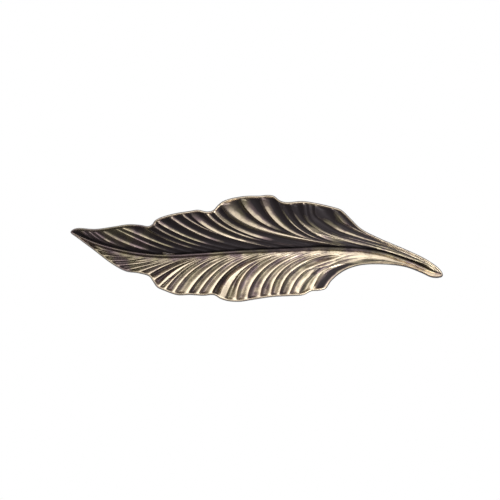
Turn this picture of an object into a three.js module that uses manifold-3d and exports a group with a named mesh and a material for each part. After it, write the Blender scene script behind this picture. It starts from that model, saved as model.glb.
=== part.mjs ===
// Cast leaf cabinet handle: a fluted feather-shaped leaf on a short curved stem, standing
// on two posts that are cast with it and tapped for the screws that come through the door.
// Millimetres, +Z up. The door face is the plane y = 0, the leaf looks towards -Y,
// and the origin lies on the door face halfway between the two posts.

import * as THREE from 'three';
import { mergeVertices } from 'three/addons/utils/BufferGeometryUtils.js';
import Module from 'manifold-3d';

const wasm = await Module();
wasm.setup();

// Leaf, seen from the front
const leafLength = 150;
const leafWidth = 42.8;

// Leaf, seen from the side
const spineHeight = 20.5; // door face to the front of the leaf, at the middle of its spine
const archDrop = 8; // how far tip and stem end bend back towards the door
const bladeSlope = 0.42; // rise of each blade half beside the spine
const bladeFlattening = 0.0052; // loss of that slope for each millimetre outwards
const bladeWall = 2.6;
const stemWall = 4.6;
const stemStart = 0.74; // along the leaf, where the wall starts to thicken into the stem
const stemFull = 0.86;

// Rim, spine and flutes
const rimWidth = 0.45;
const rimDraft = 0.35; // the side wall leans out by this much from the rim to the outline
const endShare = 0.15; // how narrow the rim may draw the leaf in at its tip and stem end
const backEdgeRound = 0.45;
const widestPoint = 0.62; // share of the wall, from the front, where the side is widest
const ribWidth = 1.6;
const ribHeight = 0.45;
const ribTaper = 9; // length over which the rib narrows at both ends
const grooveDepth = 0.75; // dark groove above the rib
const grooveRun = 1.7;
const lowerGrooveDepth = 0.25;
const stemSteepness = 0.24; // flute depth on the stem for each millimetre between two veins
const stemFlutesFrom = 32; // millimetres from the middle of the leaf
const stemFlutesFull = 50;
const fluteDepthMost = 1.4;
const fluteStart = 0.2; // share of a vein, from the spine, where its flutes are full
const fluteEnd = 0.9; // length over which a flute comes up to the rim
const crestShare = 0.06; // width of a crest, as a share of the way to the next vein
const swellRun = 0.25; // share of a vein over which a broad crest swells
const deepFlute = 1.3;
const fluteRoundness = 0.85; // below 1 the hollows are wide and the crests sharp
const faintDrop = 0.6; // how far a faint vein sinks towards the floor of its flutes

// Posts and screw holes
const holeCentres = 64;
const footDiameter = 9.5;
const footBevel = 0.4;
const waistDiameter = 8;
const flareDiameter = 11.5;
const flareHeight = 3;
const flareKnee = 0.25; // share of the flare's width that is reached at its knee
const kneeHeight = 1; // from the knee to the leaf's back
const tapDrill = 3.3; // for an M4 thread
const holeDepth = 11;
const holeMouth = 4.3;
const mouthCut = 1; // how far the countersink's cone is carried on in front of the foot
const drillPoint = 0.6; // height of the drill's cone for each millimetre of its radius
const postSink = 0.45; // share of the leaf's wall that the top of the post goes into
const postSides = 28;
const weldDistance = 1e-4; // points closer than this are one

// Finish: antique brass
const brass = { color: 0x8a7456, roughness: 0.38, metalness: 1 };

// Outline points in percent of the leaf: [distance from the tip, height over the screws' line],
// the first of the length and the second of the width
const tipPoint = [0, 16.7];
const stemPoint = [100, -23.3];
const upperEdge = [
  [0.8, 19.5], [2.1, 20.7], [6.7, 19.8], [11.2, 21.8], [15.5, 24.1], [18.7, 23.7], [21, 22.5],
  [22, 24.1], [22.7, 27.4], [23.8, 29.9], [27.6, 34], [32.1, 36.6], [34.3, 37.7], [36.7, 36.1],
  [38.3, 37.3], [39.6, 42], [40.7, 45.2], [42.8, 48.1], [46.9, 50.6], [50.9, 50.9], [53, 51.6],
  [54.6, 50.7], [56.2, 46.4], [57.8, 44.9], [62.1, 45.8], [65.3, 44.4], [70.7, 40.1],
  [72.6, 37.7], [75, 29.9], [77.9, 20.2], [83, 11], [90, 0.6], [95.3, -8.3], [98.6, -16.2],
  [99.6, -20.1],
];
const lowerEdge = [
  [1.9, 11.3], [5.9, 0.9], [11.2, -13.1], [15, -20.2], [18.2, -21.8], [21.2, -24.9],
  [22.2, -29.5], [23.3, -34.9], [25.4, -38.4], [28.9, -42.4], [32.1, -42.2], [35.6, -42.9],
  [38.6, -42.4], [40.2, -45.6], [42.3, -47.9], [45.5, -48.5], [48.7, -46.8], [54.1, -44.1],
  [58.9, -43.2], [62.4, -42.3], [64.5, -38.8], [66.7, -38.1], [68.4, -36.4], [70.1, -28.5],
  [73.4, -19.6], [77.5, -14.6], [83.3, -13.6], [89.8, -16.1], [94.4, -22.1], [96.4, -25.4],
  [97.7, -26.4], [98.8, -26.3], [99.8, -25.1],
];
const spine = [
  [4, 11.5], [9.4, 4.9], [17.4, -1.3], [25.4, -3.8], [34.8, -2.4], [46.9, 0.4], [58.9, 2.1],
  [66.9, 3.3], [73.6, 2.8], [79, 1.4], [84.3, -1.9], [88.4, -6.6], [92.4, -11.8], [96.4, -18.3],
];

// Veins from the stem to the tip. Places along the leaf are in percent of its length.
// A vein of the stem: where it leaves the spine, where it meets the rim, and points on its way,
// each a place along the leaf and how far it lies from the rim (0) to the spine (1).
// A vein of the blade: where it leaves the spine, the angle in degrees and the share of its
// length over which it holds that angle, and the same three for its end at the rim.
// A broad crest: its vein, how much it swells and where along the vein.
// A slanted flute: its number from the stem, and a lean of its own.
const upperHalf = {
  side: 1,
  corner: 72.3,
  stem: [
    [99.3, 70.1, [[95, 0.05], [88, 0.04], [79.7, 0.04], [77.8, 0.1], [75.4, 0.22], [73.4, 0.26],
      [71.5, 0.14]]],
    [99, 65.6, [[95, 0.13], [88, 0.09], [82.5, 0.32], [77, 0.46], [72.3, 0.55], [69.7, 0.44],
      [68, 0.355], [65.9, 0.245]]],
    [98.6, 64, [[96, 0.32], [90, 0.4], [82, 0.58], [76, 0.64], [71, 0.67], [67, 0.5], [64.6, 0.3]]],
    [98.2, 62.4, [[96.5, 0.55], [92.5, 0.72], [85, 0.84], [77, 0.8], [72.3, 0.78], [66.1, 0.57],
      [63.2, 0.35]]],
  ],
  blade: [
    [78.7, 9, 0.38, 58.9, 75, 0.36], [75.8, 11, 0.38, 56, 68, 0.42],
    [74.4, 12, 0.35, 51.1, 72, 0.42], [73.9, 12.5, 0.55, 45.4, 62, 0.3],
    [73.6, 12, 0.4, 40.1, 56, 0.27], [62.9, 8, 0.4, 38.3, 52, 0.27],
    [61, 8, 0.4, 36.5, 50, 0.27], [56, 9, 0.45, 31.9, 48, 0.3], [55.2, 10, 0.4, 29.8, 42, 0.25],
    [48.7, 8, 0.4, 26.5, 38, 0.27], [44.2, 9, 0.4, 22.9, 34, 0.27],
    [40.7, 10, 0.4, 22, 36, 0.27], [36.9, 11, 0.4, 20, 33, 0.27],
    [32.7, 12, 0.4, 13.3, 20, 0.27], [28.9, 13, 0.4, 11.8, 26, 0.27],
    [24.1, 13.5, 0.4, 8.4, 38, 0.27], [17.4, 14, 0.4, 6.2, 44, 0.27],
    [12.9, 14, 0.4, 4.8, 44, 0.27], [8, 14, 0.4, 3.1, 44, 0.27],
  ],
  steepness: 0.26, // flute depth for each millimetre between two veins
  lean: 1.1, // above 1 the floor of a flute lies nearer the tip
  rootFade: -0.2, // share of a vein from which its flutes deepen; below 0 they start cut
  broad: [[9, 0.12, 0.7]],
  slanted: [[7, 0.75], [8, 0.6]],
  faint: [3],
  deep: [8, 9, 16],
};
const lowerHalf = {
  side: -1,
  corner: 68,
  stem: [
    [97.5, 64.8, [[94, 0.25], [88, 0.4], [83.3, 0.45], [77.8, 0.35], [72, 0.36], [69.6, 0.43],
      [67.7, 0.437], [66.4, 0.3]]],
    [92, 61, [[86, 0.7], [79, 0.57], [74, 0.52], [69.5, 0.53], [66.3, 0.53], [62.9, 0.25]]],
    [85.5, 58.6, [[80, 0.87], [75, 0.76], [71, 0.63], [66.9, 0.63], [63.5, 0.53], [60.5, 0.33]]],
  ],
  blade: [
    [76.3, 3, 0.45, 56, 80, 0.36], [72.3, 3, 0.45, 53.7, 85, 0.36],
    [67.5, 3, 0.4, 50.9, 86, 0.33], [63.7, 3, 0.4, 47.5, 84, 0.33],
    [60.5, 6, 0.42, 44.4, 86, 0.42], [58.9, 8, 0.45, 40.5, 72, 0.33],
    [55.2, 3, 0.4, 37.9, 66, 0.33], [51.4, 3, 0.4, 34.3, 60, 0.33],
    [48.2, 3, 0.4, 31.6, 60, 0.33], [44.4, 3, 0.4, 27.7, 60, 0.33],
    [41.5, 3.5, 0.4, 25.4, 54, 0.33], [40, 4.5, 0.4, 23.6, 45, 0.33],
    [39.1, 6, 0.4, 22.1, 34, 0.33], [34.8, 8, 0.4, 21, 33, 0.33],
    [32.1, 10.5, 0.4, 18.7, 22, 0.33], [28.9, 12.5, 0.4, 15.3, 12, 0.33],
    [25.4, 14.5, 0.4, 12.6, 4, 0.33], [20.5, 16, 0.4, 10.7, 2, 0.33],
    [17.5, 17, 0.4, 8.8, 0, 0.33], [15, 17, 0.4, 6.7, -10, 0.33],
    [10.2, 17, 0.4, 4.3, -15, 0.33],
  ],
  steepness: 0.36,
  lean: 1.7,
  rootFade: 0,
  broad: [[9, 0.5, 0.85], [15, 0.5, 0.7]],
  slanted: [],
  faint: [2],
  deep: [9, 15, 16],
};

// How finely the flutes are stepped across, and along from the spine (0) to the rim (1)
const acrossFlute = [0, 0.2, 0.45, 0.68, 0.88];
const alongVein = [0, 0.06, 0.15, 0.26, 0.38, 0.5, 0.62, 0.73, 0.83, 0.91, 0.96, 0.985, 1];
const stemEdgeSpacing = 1.15; // above 1 the rows of the first flute lie closer at the stem end
const endHold = 4; // how near its ends a row is bent to lie on the spine and the rim
const outlineSteps = 12; // between two outline points
const grooveSteps = 240;
const veinStep = 0.02; // share of a vein over which its direction is taken
const backStations = 48;
const backLines = [0.93, 0.72, 0.4]; // from the spine (0) to the edge (1)
const ribStations = 56;

const clamp = (value, low, high) => Math.min(high, Math.max(low, value));
const mix = (a, b, share) => a + (b - a) * share;
const smooth = (low, high, value) => {
  const share = clamp((value - low) / (high - low), 0, 1);
  return share * share * (3 - 2 * share);
};

// Percent of the leaf to millimetres on the front view
const acrossLeaf = (percent) => (percent / 100 - 0.5) * leafLength;
const upLeaf = (percent) => (percent / 100) * leafWidth;
const onFront = ([along, up]) => new THREE.Vector2(acrossLeaf(along), upLeaf(up));
const tip = onFront(tipPoint);
const stemEnd = onFront(stemPoint);

function curveThrough(points, closed = false) {
  const placed = points.map((point) => new THREE.Vector3(point.x, point.y, 0));
  return new THREE.CatmullRomCurve3(placed, closed, 'centripetal');
}

// One value of a line of points that run along x, found by x
function findAlong(line, x, read) {
  const rising = line[line.length - 1].x > line[0].x;
  let low = 0;
  let high = line.length - 1;
  while (high - low > 1) {
    const middle = (low + high) >> 1;
    if ((line[middle].x > x) === rising) {
      high = middle;
    } else {
      low = middle;
    }
  }
  const span = line[high].x - line[low].x;
  const share = span === 0 ? 0 : clamp((x - line[low].x) / span, 0, 1);
  return mix(read(line[low]), read(line[high]), share);
}

// The outline once round, with the direction that points into the leaf at each place
function makeOutline() {
  const points = [tipPoint, ...upperEdge, stemPoint, ...[...lowerEdge].reverse()].map(onFront);
  const curve = curveThrough(points, true);
  const steps = points.length * outlineSteps;
  const samples = [];
  for (let step = 0; step < steps; step += 1) {
    const place = curve.getPoint(step / steps);
    const run = curve.getTangent(step / steps);
    samples.push({ x: place.x, z: place.y, inX: run.y, inZ: -run.x });
  }
  const stemStep = (upperEdge.length + 1) * outlineSteps;
  return {
    upper: keepRising(samples.slice(0, stemStep + 1)),
    lower: keepRising([samples[0], ...samples.slice(stemStep).reverse()]),
  };
}

// A line without the places where it would turn back along x
function keepRising(line) {
  const finish = line[line.length - 1];
  let reached = line[0].x;
  const kept = line.slice(1, -1).filter((sample) => {
    const rises = sample.x > reached && sample.x < finish.x;
    reached = rises ? sample.x : reached;
    return rises;
  });
  return [line[0], ...kept, finish];
}

const outline = makeOutline();

// The outline at a place along the leaf, moved into the leaf by an inset but never past its middle
function edgeAt(side, x, inset) {
  const line = side > 0 ? outline.upper : outline.lower;
  const inX = findAlong(line, x, (sample) => sample.inX);
  const inZ = findAlong(line, x, (sample) => sample.inZ);
  const size = Math.hypot(inX, inZ);
  const isEnd = x <= tip.x || x >= stemEnd.x;
  const placeX = clamp(x, tip.x, stemEnd.x) + (inX / size) * inset;
  const placeZ = findAlong(line, x, (sample) => sample.z) + (inZ / size) * inset;
  const upper = findAlong(outline.upper, placeX, (sample) => sample.z);
  const lower = findAlong(outline.lower, placeX, (sample) => sample.z);
  const middle = (upper + lower) / 2;
  const least = (endShare * (upper - lower)) / 2;
  const reach = isEnd ? 0 : Math.max(side * (placeZ - middle), least);
  return new THREE.Vector2(placeX, middle + side * reach);
}

const fluteLimit = rimDraft + rimWidth;
const tipInside = edgeAt(1, tip.x, fluteLimit);
const stemInside = edgeAt(1, stemEnd.x, fluteLimit);

// The groove that runs along the top of the rib from tip to stem end
const grooveLine = curveThrough([tipInside, ...spine.map(onFront), stemInside])
  .getPoints(grooveSteps)
  .map((point) => ({ x: point.x, z: point.y }));
const grooveAt = (x) => findAlong(grooveLine, x, (sample) => sample.z);

function ribWidthAt(x) {
  const toTip = clamp((x - tipInside.x) / ribTaper, 0, 1);
  const toStem = clamp((stemInside.x - x) / ribTaper, 0, 1);
  return ribWidth * Math.sqrt(toTip * toStem);
}

const ribMiddleAt = (x) => grooveAt(x) - ribWidthAt(x) / 2;
const rootLineAt = (side, x) => (side > 0 ? grooveAt(x) : grooveAt(x) - ribWidthAt(x));

// Front of the leaf without its flutes: an arch along the spine, with both halves rising from it
const bladeRise = (distance) => distance * (bladeSlope - bladeFlattening * distance);
const spineAt = (x) => -spineHeight + archDrop * (2 * x / leafLength) ** 2;
const plainFront = (side, x, z) => spineAt(x) - bladeRise(Math.abs(z - rootLineAt(side, x)));

function wallAt(x) {
  const along = x / leafLength + 0.5;
  return mix(bladeWall, stemWall, smooth(stemStart, stemFull, along));
}

function backAt(x, z) {
  const softened = Math.hypot(z - ribMiddleAt(x), ribWidth) - ribWidth;
  return spineAt(x) - bladeRise(softened) + wallAt(x);
}

// Depth of the groove beside the rib, seen from a place on one half
function grooveDip(side, x, z) {
  const depth = side > 0 ? grooveDepth : lowerGrooveDepth;
  const near = clamp(1 - Math.abs(z - rootLineAt(side, x)) / grooveRun, 0, 1);
  return depth * near * near * (ribWidthAt(x) / ribWidth);
}

const lineGap = (from, to) => Math.hypot(to.x - from.x, to.y - from.y);

// Where the flutes of one half part at the rim, in percent of the length
const endPlaces = (half) => [
  half.corner,
  ...half.stem.map(([, end]) => end),
  ...half.blade.map(([, , , end]) => end),
  tipPoint[0],
];

// A place on one half, by its share of the way from the rim to the spine
function acrossHalf(side, [along, share]) {
  const x = acrossLeaf(along);
  const rim = edgeAt(side, x, fluteLimit);
  return new THREE.Vector2(rim.x, mix(rim.y, rootLineAt(side, rim.x), share));
}

function stemVein(side, [root, end, onTheWay]) {
  const rootX = acrossLeaf(root);
  const start = new THREE.Vector2(rootX, rootLineAt(side, rootX));
  const finish = edgeAt(side, acrossLeaf(end), fluteLimit);
  return curveThrough([start, ...onTheWay.map((point) => acrossHalf(side, point)), finish]);
}

function bladeVein(side, [root, leaveAngle, leaveShare, end, meetAngle, meetShare]) {
  const rootX = acrossLeaf(root);
  const start = new THREE.Vector2(rootX, rootLineAt(side, rootX));
  const finish = edgeAt(side, acrossLeaf(end), fluteLimit);
  const reach = start.distanceTo(finish);
  const leave = THREE.MathUtils.degToRad(leaveAngle);
  const meet = THREE.MathUtils.degToRad(meetAngle);
  const fromStart = new THREE.Vector2(-Math.cos(leave), side * Math.sin(leave));
  const fromFinish = new THREE.Vector2(Math.cos(meet), -side * Math.sin(meet));
  return new THREE.CubicBezierCurve(
    start,
    start.clone().addScaledVector(fromStart, leaveShare * reach),
    finish.clone().addScaledVector(fromFinish, meetShare * reach),
    finish,
  );
}

// Half the width of a crest at a share of the way along its vein
function crestAt(half, vein, along) {
  const swells = half.broad
    .filter(([broadVein]) => broadVein === vein)
    .map(([, width, middle]) => width * Math.exp(-(((along - middle) / swellRun) ** 2)));
  return swells.reduce((sum, width) => sum + width, crestShare) / 2;
}

// 0 on a crest and 1 on the floor of a flute, at a share of the way from one vein to the next
function hollow(half, index, share, along) {
  const drop = (vein) => (half.faint.includes(vein) ? faintDrop : 0);
  const low = crestAt(half, index, along);
  const high = 1 - crestAt(half, index + 1, along);
  const across = clamp((share - low) / (high - low), 0, 1);
  const slanted = half.slanted.find(([flute]) => flute === index);
  const lean = slanted ? slanted[1] : half.lean;
  const flute = Math.abs(Math.sin(Math.PI * across ** lean)) ** fluteRoundness;
  const sunk = mix(drop(index), drop(index + 1), share);
  return sunk + (1 - sunk) * flute;
}

// One half of the front as rows of points, each row going from the stem to the tip
function fluteRows(half) {
  const { side } = half;
  const veins = [
    ...half.stem.map((vein) => stemVein(side, vein)),
    ...half.blade.map((vein) => bladeVein(side, vein)),
  ];
  const last = veins.length + 1;
  const rootPlaces = [...half.stem, ...half.blade].map(([root]) => acrossLeaf(root));
  const roots = [stemInside.x, ...rootPlaces, tipInside.x];
  const ends = endPlaces(half).map(acrossLeaf);
  const stemEdge = (along) => mix(stemEnd.x, ends[0], along ** stemEdgeSpacing);

  function onVein(index, along) {
    if (index === 0) {
      return edgeAt(side, stemEdge(along), fluteLimit);
    }
    return index === last ? tipInside : veins[index - 1].getPointAt(along);
  }

  const lengths = roots.map((_, index) => alongVein.slice(1).reduce(
    (sum, along, step) => sum + lineGap(onVein(index, alongVein[step]), onVein(index, along)),
    0,
  ));

  // Depth of one flute, from how far apart its two veins are there
  function depthAt(index, along) {
    const here = onVein(index, along);
    const next = onVein(index + 1, along);
    const ahead = onVein(index, clamp(along + veinStep, 0, 1));
    const behind = onVein(index, clamp(along - veinStep, 0, 1));
    const runX = ahead.x - behind.x;
    const runZ = ahead.y - behind.y;
    const sweep = (next.x - here.x) * runZ - (next.y - here.y) * runX;
    const spread = Math.abs(sweep) / Math.hypot(runX, runZ);
    const onStem = smooth(stemFlutesFrom, stemFlutesFull, here.x);
    const steepness = mix(half.steepness, stemSteepness, onStem);
    const rise = smooth(0, 1, ((1 - along) * lengths[index]) / fluteEnd);
    const start = smooth(half.rootFade, fluteStart, along);
    const deeper = half.deep.includes(index) ? deepFlute : 1;
    return Math.min(fluteDepthMost, spread * steepness) * deeper * rise * start;
  }

  // A place between two veins, bent so that the first row lies on the spine and the last on the rim
  function between(index, along, share) {
    const rootX = mix(roots[index], roots[index + 1], share);
    const root = new THREE.Vector2(rootX, rootLineAt(side, rootX));
    const rim = edgeAt(side, mix(ends[index], ends[index + 1], share), fluteLimit);
    const blend = (place) => {
      const from = onVein(index, place);
      const to = onVein(index + 1, place);
      return new THREE.Vector2(mix(from.x, to.x, share), mix(from.y, to.y, share));
    };
    const toRoot = root.sub(blend(0)).multiplyScalar((1 - along) ** endHold);
    const toRim = rim.sub(blend(1)).multiplyScalar(along ** endHold);
    return blend(along).add(toRoot).add(toRim);
  }

  return alongVein.map((along) => {
    const row = [];
    for (let index = 0; index < last; index += 1) {
      const depth = depthAt(index, along);
      for (const share of acrossFlute) {
        const place = between(index, along, share);
        const front = plainFront(side, place.x, place.y) + grooveDip(side, place.x, place.y);
        const sunk = depth * hollow(half, index, share, along);
        row.push(new THREE.Vector3(place.x, front + sunk, place.y));
      }
    }
    const tipFront = plainFront(side, tipInside.x, tipInside.y);
    row.push(new THREE.Vector3(tipInside.x, tipFront, tipInside.y));
    return row;
  });
}

// Triangles between two lines that both run from the stem to the tip
function joinLines(faces, first, second, turned) {
  const add = (a, b, c) => {
    if (!a.equals(b) && !b.equals(c) && !c.equals(a)) {
      faces.push(turned ? [a, c, b] : [a, b, c]);
    }
  };
  let i = 0;
  let j = 0;
  while (i < first.length - 1 || j < second.length - 1) {
    const firstIsNext = j === second.length - 1
      || (i < first.length - 1 && first[i + 1].x >= second[j + 1].x);
    if (firstIsNext) {
      add(first[i], second[j], first[i + 1]);
      i += 1;
    } else {
      add(first[i], second[j], second[j + 1]);
      j += 1;
    }
  }
}

// Triangles between two lines with the same number of points
function joinRows(faces, first, second, turned) {
  for (let index = 0; index < first.length - 1; index += 1) {
    const corners = [first[index], second[index], second[index + 1], first[index + 1]];
    for (const [a, b, c] of [[0, 1, 2], [0, 2, 3]]) {
      const face = [corners[a], corners[turned ? c : b], corners[turned ? b : c]];
      if (!face[0].equals(face[1]) && !face[1].equals(face[2]) && !face[2].equals(face[0])) {
        faces.push(face);
      }
    }
  }
}

// Lines of the rim and the side wall, from the flutes' ends round to the back
function rimLines(half) {
  const { side } = half;
  const stemSide = alongVein.slice(0, -1).map((along) => along ** stemEdgeSpacing);
  const places = stemSide.map((share) => mix(stemPoint[0], half.corner, share));
  const ends = endPlaces(half);
  for (let index = 0; index < ends.length - 1; index += 1) {
    places.push(...acrossFlute.map((share) => mix(ends[index], ends[index + 1], share)));
  }
  places.push(tipPoint[0]);
  const steps = [
    { inset: rimDraft, depth: 0 },
    { inset: 0, depth: widestPoint },
    { inset: backEdgeRound, depth: 1 },
  ];
  return steps.map(({ inset, depth }) => places.map((place) => {
    const x = acrossLeaf(place);
    const at = edgeAt(side, x, inset);
    const front = plainFront(side, at.x, at.y);
    return new THREE.Vector3(at.x, mix(front, backAt(at.x, at.y), depth), at.y);
  }));
}

function backLine(edge, share) {
  const start = edge[0];
  const finish = edge[edge.length - 1];
  const line = [start];
  for (let station = 1; station < backStations; station += 1) {
    const along = 0.5 - 0.5 * Math.cos((Math.PI * station) / backStations);
    const x = mix(start.x, finish.x, along);
    const z = mix(ribMiddleAt(x), findAlong(edge, x, (point) => point.z), share);
    line.push(new THREE.Vector3(x, backAt(x, z), z));
  }
  line.push(finish);
  return line;
}

function ribCrest(first, last) {
  const line = [first];
  for (let station = 1; station < ribStations; station += 1) {
    const x = mix(first.x, last.x, station / ribStations);
    const z = ribMiddleAt(x);
    const height = ribHeight * (ribWidthAt(x) / ribWidth);
    line.push(new THREE.Vector3(x, spineAt(x) - height, z));
  }
  line.push(last);
  return line;
}

// The leaf as one closed skin: flutes, rib, rim, side wall and smooth back
function leafGeometry() {
  const faces = [];
  const rootLines = [];
  for (const half of [upperHalf, lowerHalf]) {
    const turned = half.side < 0;
    const rows = fluteRows(half);
    for (let index = 0; index < rows.length - 1; index += 1) {
      joinRows(faces, rows[index], rows[index + 1], turned);
    }
    rootLines.push(rows[0]);
    const stemSide = rows.slice(0, -1).map((row) => row[0]);
    const fluteEnds = [...stemSide, ...rows[rows.length - 1]];
    const [rimEdge, widest, backEdge] = rimLines(half);
    joinRows(faces, fluteEnds, rimEdge, turned);
    joinRows(faces, rimEdge, widest, turned);
    joinRows(faces, widest, backEdge, turned);
    let outer = backEdge;
    for (const share of [...backLines, 0]) {
      const inner = backLine(backEdge, share);
      joinLines(faces, outer, inner, turned);
      outer = inner;
    }
  }
  const [upperRoot, lowerRoot] = rootLines;
  const crest = ribCrest(upperRoot[0], upperRoot[upperRoot.length - 1]);
  joinLines(faces, lowerRoot, crest, false);
  joinLines(faces, crest, upperRoot, false);
  const geometry = new THREE.BufferGeometry();
  geometry.setFromPoints(faces.flat());
  return geometry;
}

// A post from the door face into the leaf's wall, with its top ring laid inside that wall
function postGeometry(x) {
  const length = spineHeight;
  const foot = footDiameter / 2;
  const waist = waistDiameter / 2;
  const flare = flareDiameter / 2;
  const back = -backAt(x, 0);
  const profile = [
    [0, 0], [foot - footBevel, 0], [foot, footBevel], [waist, back - flareHeight],
    [mix(waist, flare, flareKnee), back - kneeHeight], [flare, length], [0, length],
  ].map(([radius, height]) => new THREE.Vector2(radius, height));
  const geometry = new THREE.LatheGeometry(profile, postSides);
  const corners = geometry.getAttribute('position');
  for (let index = 0; index < corners.count; index += 1) {
    const placeX = x + corners.getX(index);
    const placeZ = -corners.getZ(index);
    const height = corners.getY(index);
    const insideWall = backAt(placeX, placeZ) - wallAt(placeX) * postSink;
    corners.setXYZ(index, placeX, height === length ? insideWall : -height, placeZ);
  }
  return geometry;
}

function holeGeometry(x) {
  const radius = tapDrill / 2;
  const mouth = holeMouth / 2;
  const profile = [
    [0, -mouthCut], [mouth + mouthCut, -mouthCut], [radius, mouth - radius], [radius, holeDepth],
    [0, holeDepth + drillPoint * radius],
  ].map(([reach, height]) => new THREE.Vector2(reach, height));
  const geometry = new THREE.LatheGeometry(profile, postSides);
  geometry.rotateX(Math.PI);
  geometry.translate(x, 0, 0);
  return geometry;
}

function toSolid(geometry) {
  const plain = new THREE.BufferGeometry();
  plain.setAttribute('position', geometry.getAttribute('position').clone());
  if (geometry.index) {
    plain.setIndex(geometry.index.clone());
  }
  const merged = mergeVertices(plain, weldDistance);
  const corners = Float32Array.from(merged.getAttribute('position').array);
  const triangles = [];
  const order = merged.index.array;
  for (let index = 0; index < order.length; index += 3) {
    const [a, b, c] = [order[index], order[index + 1], order[index + 2]];
    if (a !== b && b !== c && c !== a) {
      triangles.push(a, b, c);
    }
  }
  const triVerts = Uint32Array.from(triangles);
  return new wasm.Manifold(new wasm.Mesh({ numProp: 3, vertProperties: corners, triVerts }));
}

function toGeometry(solid) {
  const mesh = solid.getMesh();
  const geometry = new THREE.BufferGeometry();
  geometry.setAttribute('position', new THREE.BufferAttribute(mesh.vertProperties, 3));
  geometry.setIndex(new THREE.BufferAttribute(mesh.triVerts, 1));
  geometry.computeVertexNormals();
  return geometry;
}

function leafHandle() {
  let solid = toSolid(leafGeometry());
  for (const x of [-holeCentres / 2, holeCentres / 2]) {
    solid = solid.add(toSolid(postGeometry(x)));
    solid = solid.subtract(toSolid(holeGeometry(x)));
  }
  const mesh = new THREE.Mesh(toGeometry(solid), new THREE.MeshStandardMaterial(brass));
  mesh.name = 'leaf_handle';
  return mesh;
}

const group = new THREE.Group();
group.name = 'cabinet_handle';
group.add(leafHandle());

export default group;
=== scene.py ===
# Cast leaf cabinet handle in antique brass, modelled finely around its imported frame
import math
import bmesh
import bpy
import numpy as np
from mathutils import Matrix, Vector


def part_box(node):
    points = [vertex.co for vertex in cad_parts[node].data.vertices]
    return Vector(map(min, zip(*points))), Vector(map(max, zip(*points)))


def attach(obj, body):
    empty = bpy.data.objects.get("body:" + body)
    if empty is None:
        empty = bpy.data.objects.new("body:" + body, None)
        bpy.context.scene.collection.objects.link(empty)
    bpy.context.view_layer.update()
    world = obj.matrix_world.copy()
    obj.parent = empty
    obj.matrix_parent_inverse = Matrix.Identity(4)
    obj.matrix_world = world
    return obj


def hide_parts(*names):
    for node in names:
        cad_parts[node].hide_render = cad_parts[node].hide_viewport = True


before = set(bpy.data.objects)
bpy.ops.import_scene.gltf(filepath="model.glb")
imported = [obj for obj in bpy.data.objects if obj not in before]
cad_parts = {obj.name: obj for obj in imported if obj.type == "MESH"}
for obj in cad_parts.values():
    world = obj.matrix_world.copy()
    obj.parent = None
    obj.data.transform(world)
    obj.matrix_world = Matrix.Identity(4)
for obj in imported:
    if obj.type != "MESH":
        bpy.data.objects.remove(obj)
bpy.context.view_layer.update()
mm = 0.001
leafLow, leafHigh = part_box("leaf_handle")

# Sizes are in millimetres, and a place on the leaf counts from its middle towards the stem
leaf = {
    "length": (leafHigh[0] - leafLow[0]) / mm,
    "width": 42.8,
    "spineHeight": 20.5,  # door face to the front of the spine, at its middle
    "archDrop": 8,  # how far tip and stem end bend back towards the door
    "bladeSlope": 0.42,  # rise of each half beside the spine
    "bladeFlattening": 0.0052,  # loss of that slope for each millimetre outwards
    "bladeWall": 2.6,
    "stemWall": 4.6,
    "stemStart": 0.74,  # share of the length where the wall starts to thicken into the stem
    "stemFull": 0.86,
    "cornerRise": 1.15,  # above 1 the rows of the first flute lie closer at the stem end
    "outlineSteps": 12,  # between two outline points
    "sharpAngle": 40,  # degrees above which an edge stays sharp
}
rib = {
    "width": 1.6,
    "height": 0.45,
    "taper": 9,  # length over which the rib narrows at both ends
    "roundness": 0.8,
    "grooveDepth": 0.75,  # dark groove above the rib
    "lowerGrooveDepth": 0.25,
    "grooveRun": 1.7,
    "stations": 320,
    "lines": (0.08, 0.2, 0.35, 0.5, 0.65, 0.8, 0.92),  # from its lower side to the groove
    "patinaAndShade": (0.1, 0.2, 0.3, 0.35, 0.4, 0.6, 0.9),
    "darkFrom": (-15, 5),  # the span along the leaf where the rib turns dark, and back again
    "darkTo": (42, 60),
    "darkPatina": 0.75,
    "dullTo": (-35, -15),  # towards the tip it is never brighter than this
    "dullPatina": 0.45,
}
rim = {
    "draft": 0.35,  # the side wall leans out by this much from the rim to the outline
    "width": 0.45,
    "endShare": 0.15,  # how narrow the rim may draw the leaf in at its two ends
    # over the bead and down the side: inset from the outline, height over the leaf, share of
    # the way to the back, and patina
    "profile": [
        (0.72, 0.07, 0, 0), (0.63, 0.15, 0, 0), (0.54, 0.18, 0, 0), (0.45, 0.14, 0, 0),
        (0.38, 0.04, 0, 0.05), (0.3, 0, 0.06, 0.45), (0.17, 0, 0.3, 0.85), (0.05, 0, 0.5, 0.9),
        (0, 0, 0.62, 0.8), (0.03, 0, 0.78, 0.8), (0.14, 0, 0.9, 0.8), (0.29, 0, 0.975, 0.9),
        (0.45, 0, 1, 1),
    ],
    "tipPatina": 0.3,
    "tipTo": (-55, -30),
    # painted shadow on the lower side wall below the stem: span along the leaf, darkness, and the
    # last line that stays bright
    "shadowEdges": [(52, 60, 0.95, 2), (26, 34, 0.9, 3)],
}
back = {
    "stations": 260,
    "endGap": 0.002,  # share of the length left free at both ends
    "lines": (-0.95, -0.88, -0.78, -0.65, -0.5, -0.35, -0.2, -0.08, 0, 0.08, 0.2, 0.35, 0.5,
              0.65, 0.78, 0.88, 0.95),  # from the lower edge over the rib to the upper edge
    "patinaAndShade": 1,
}
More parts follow.
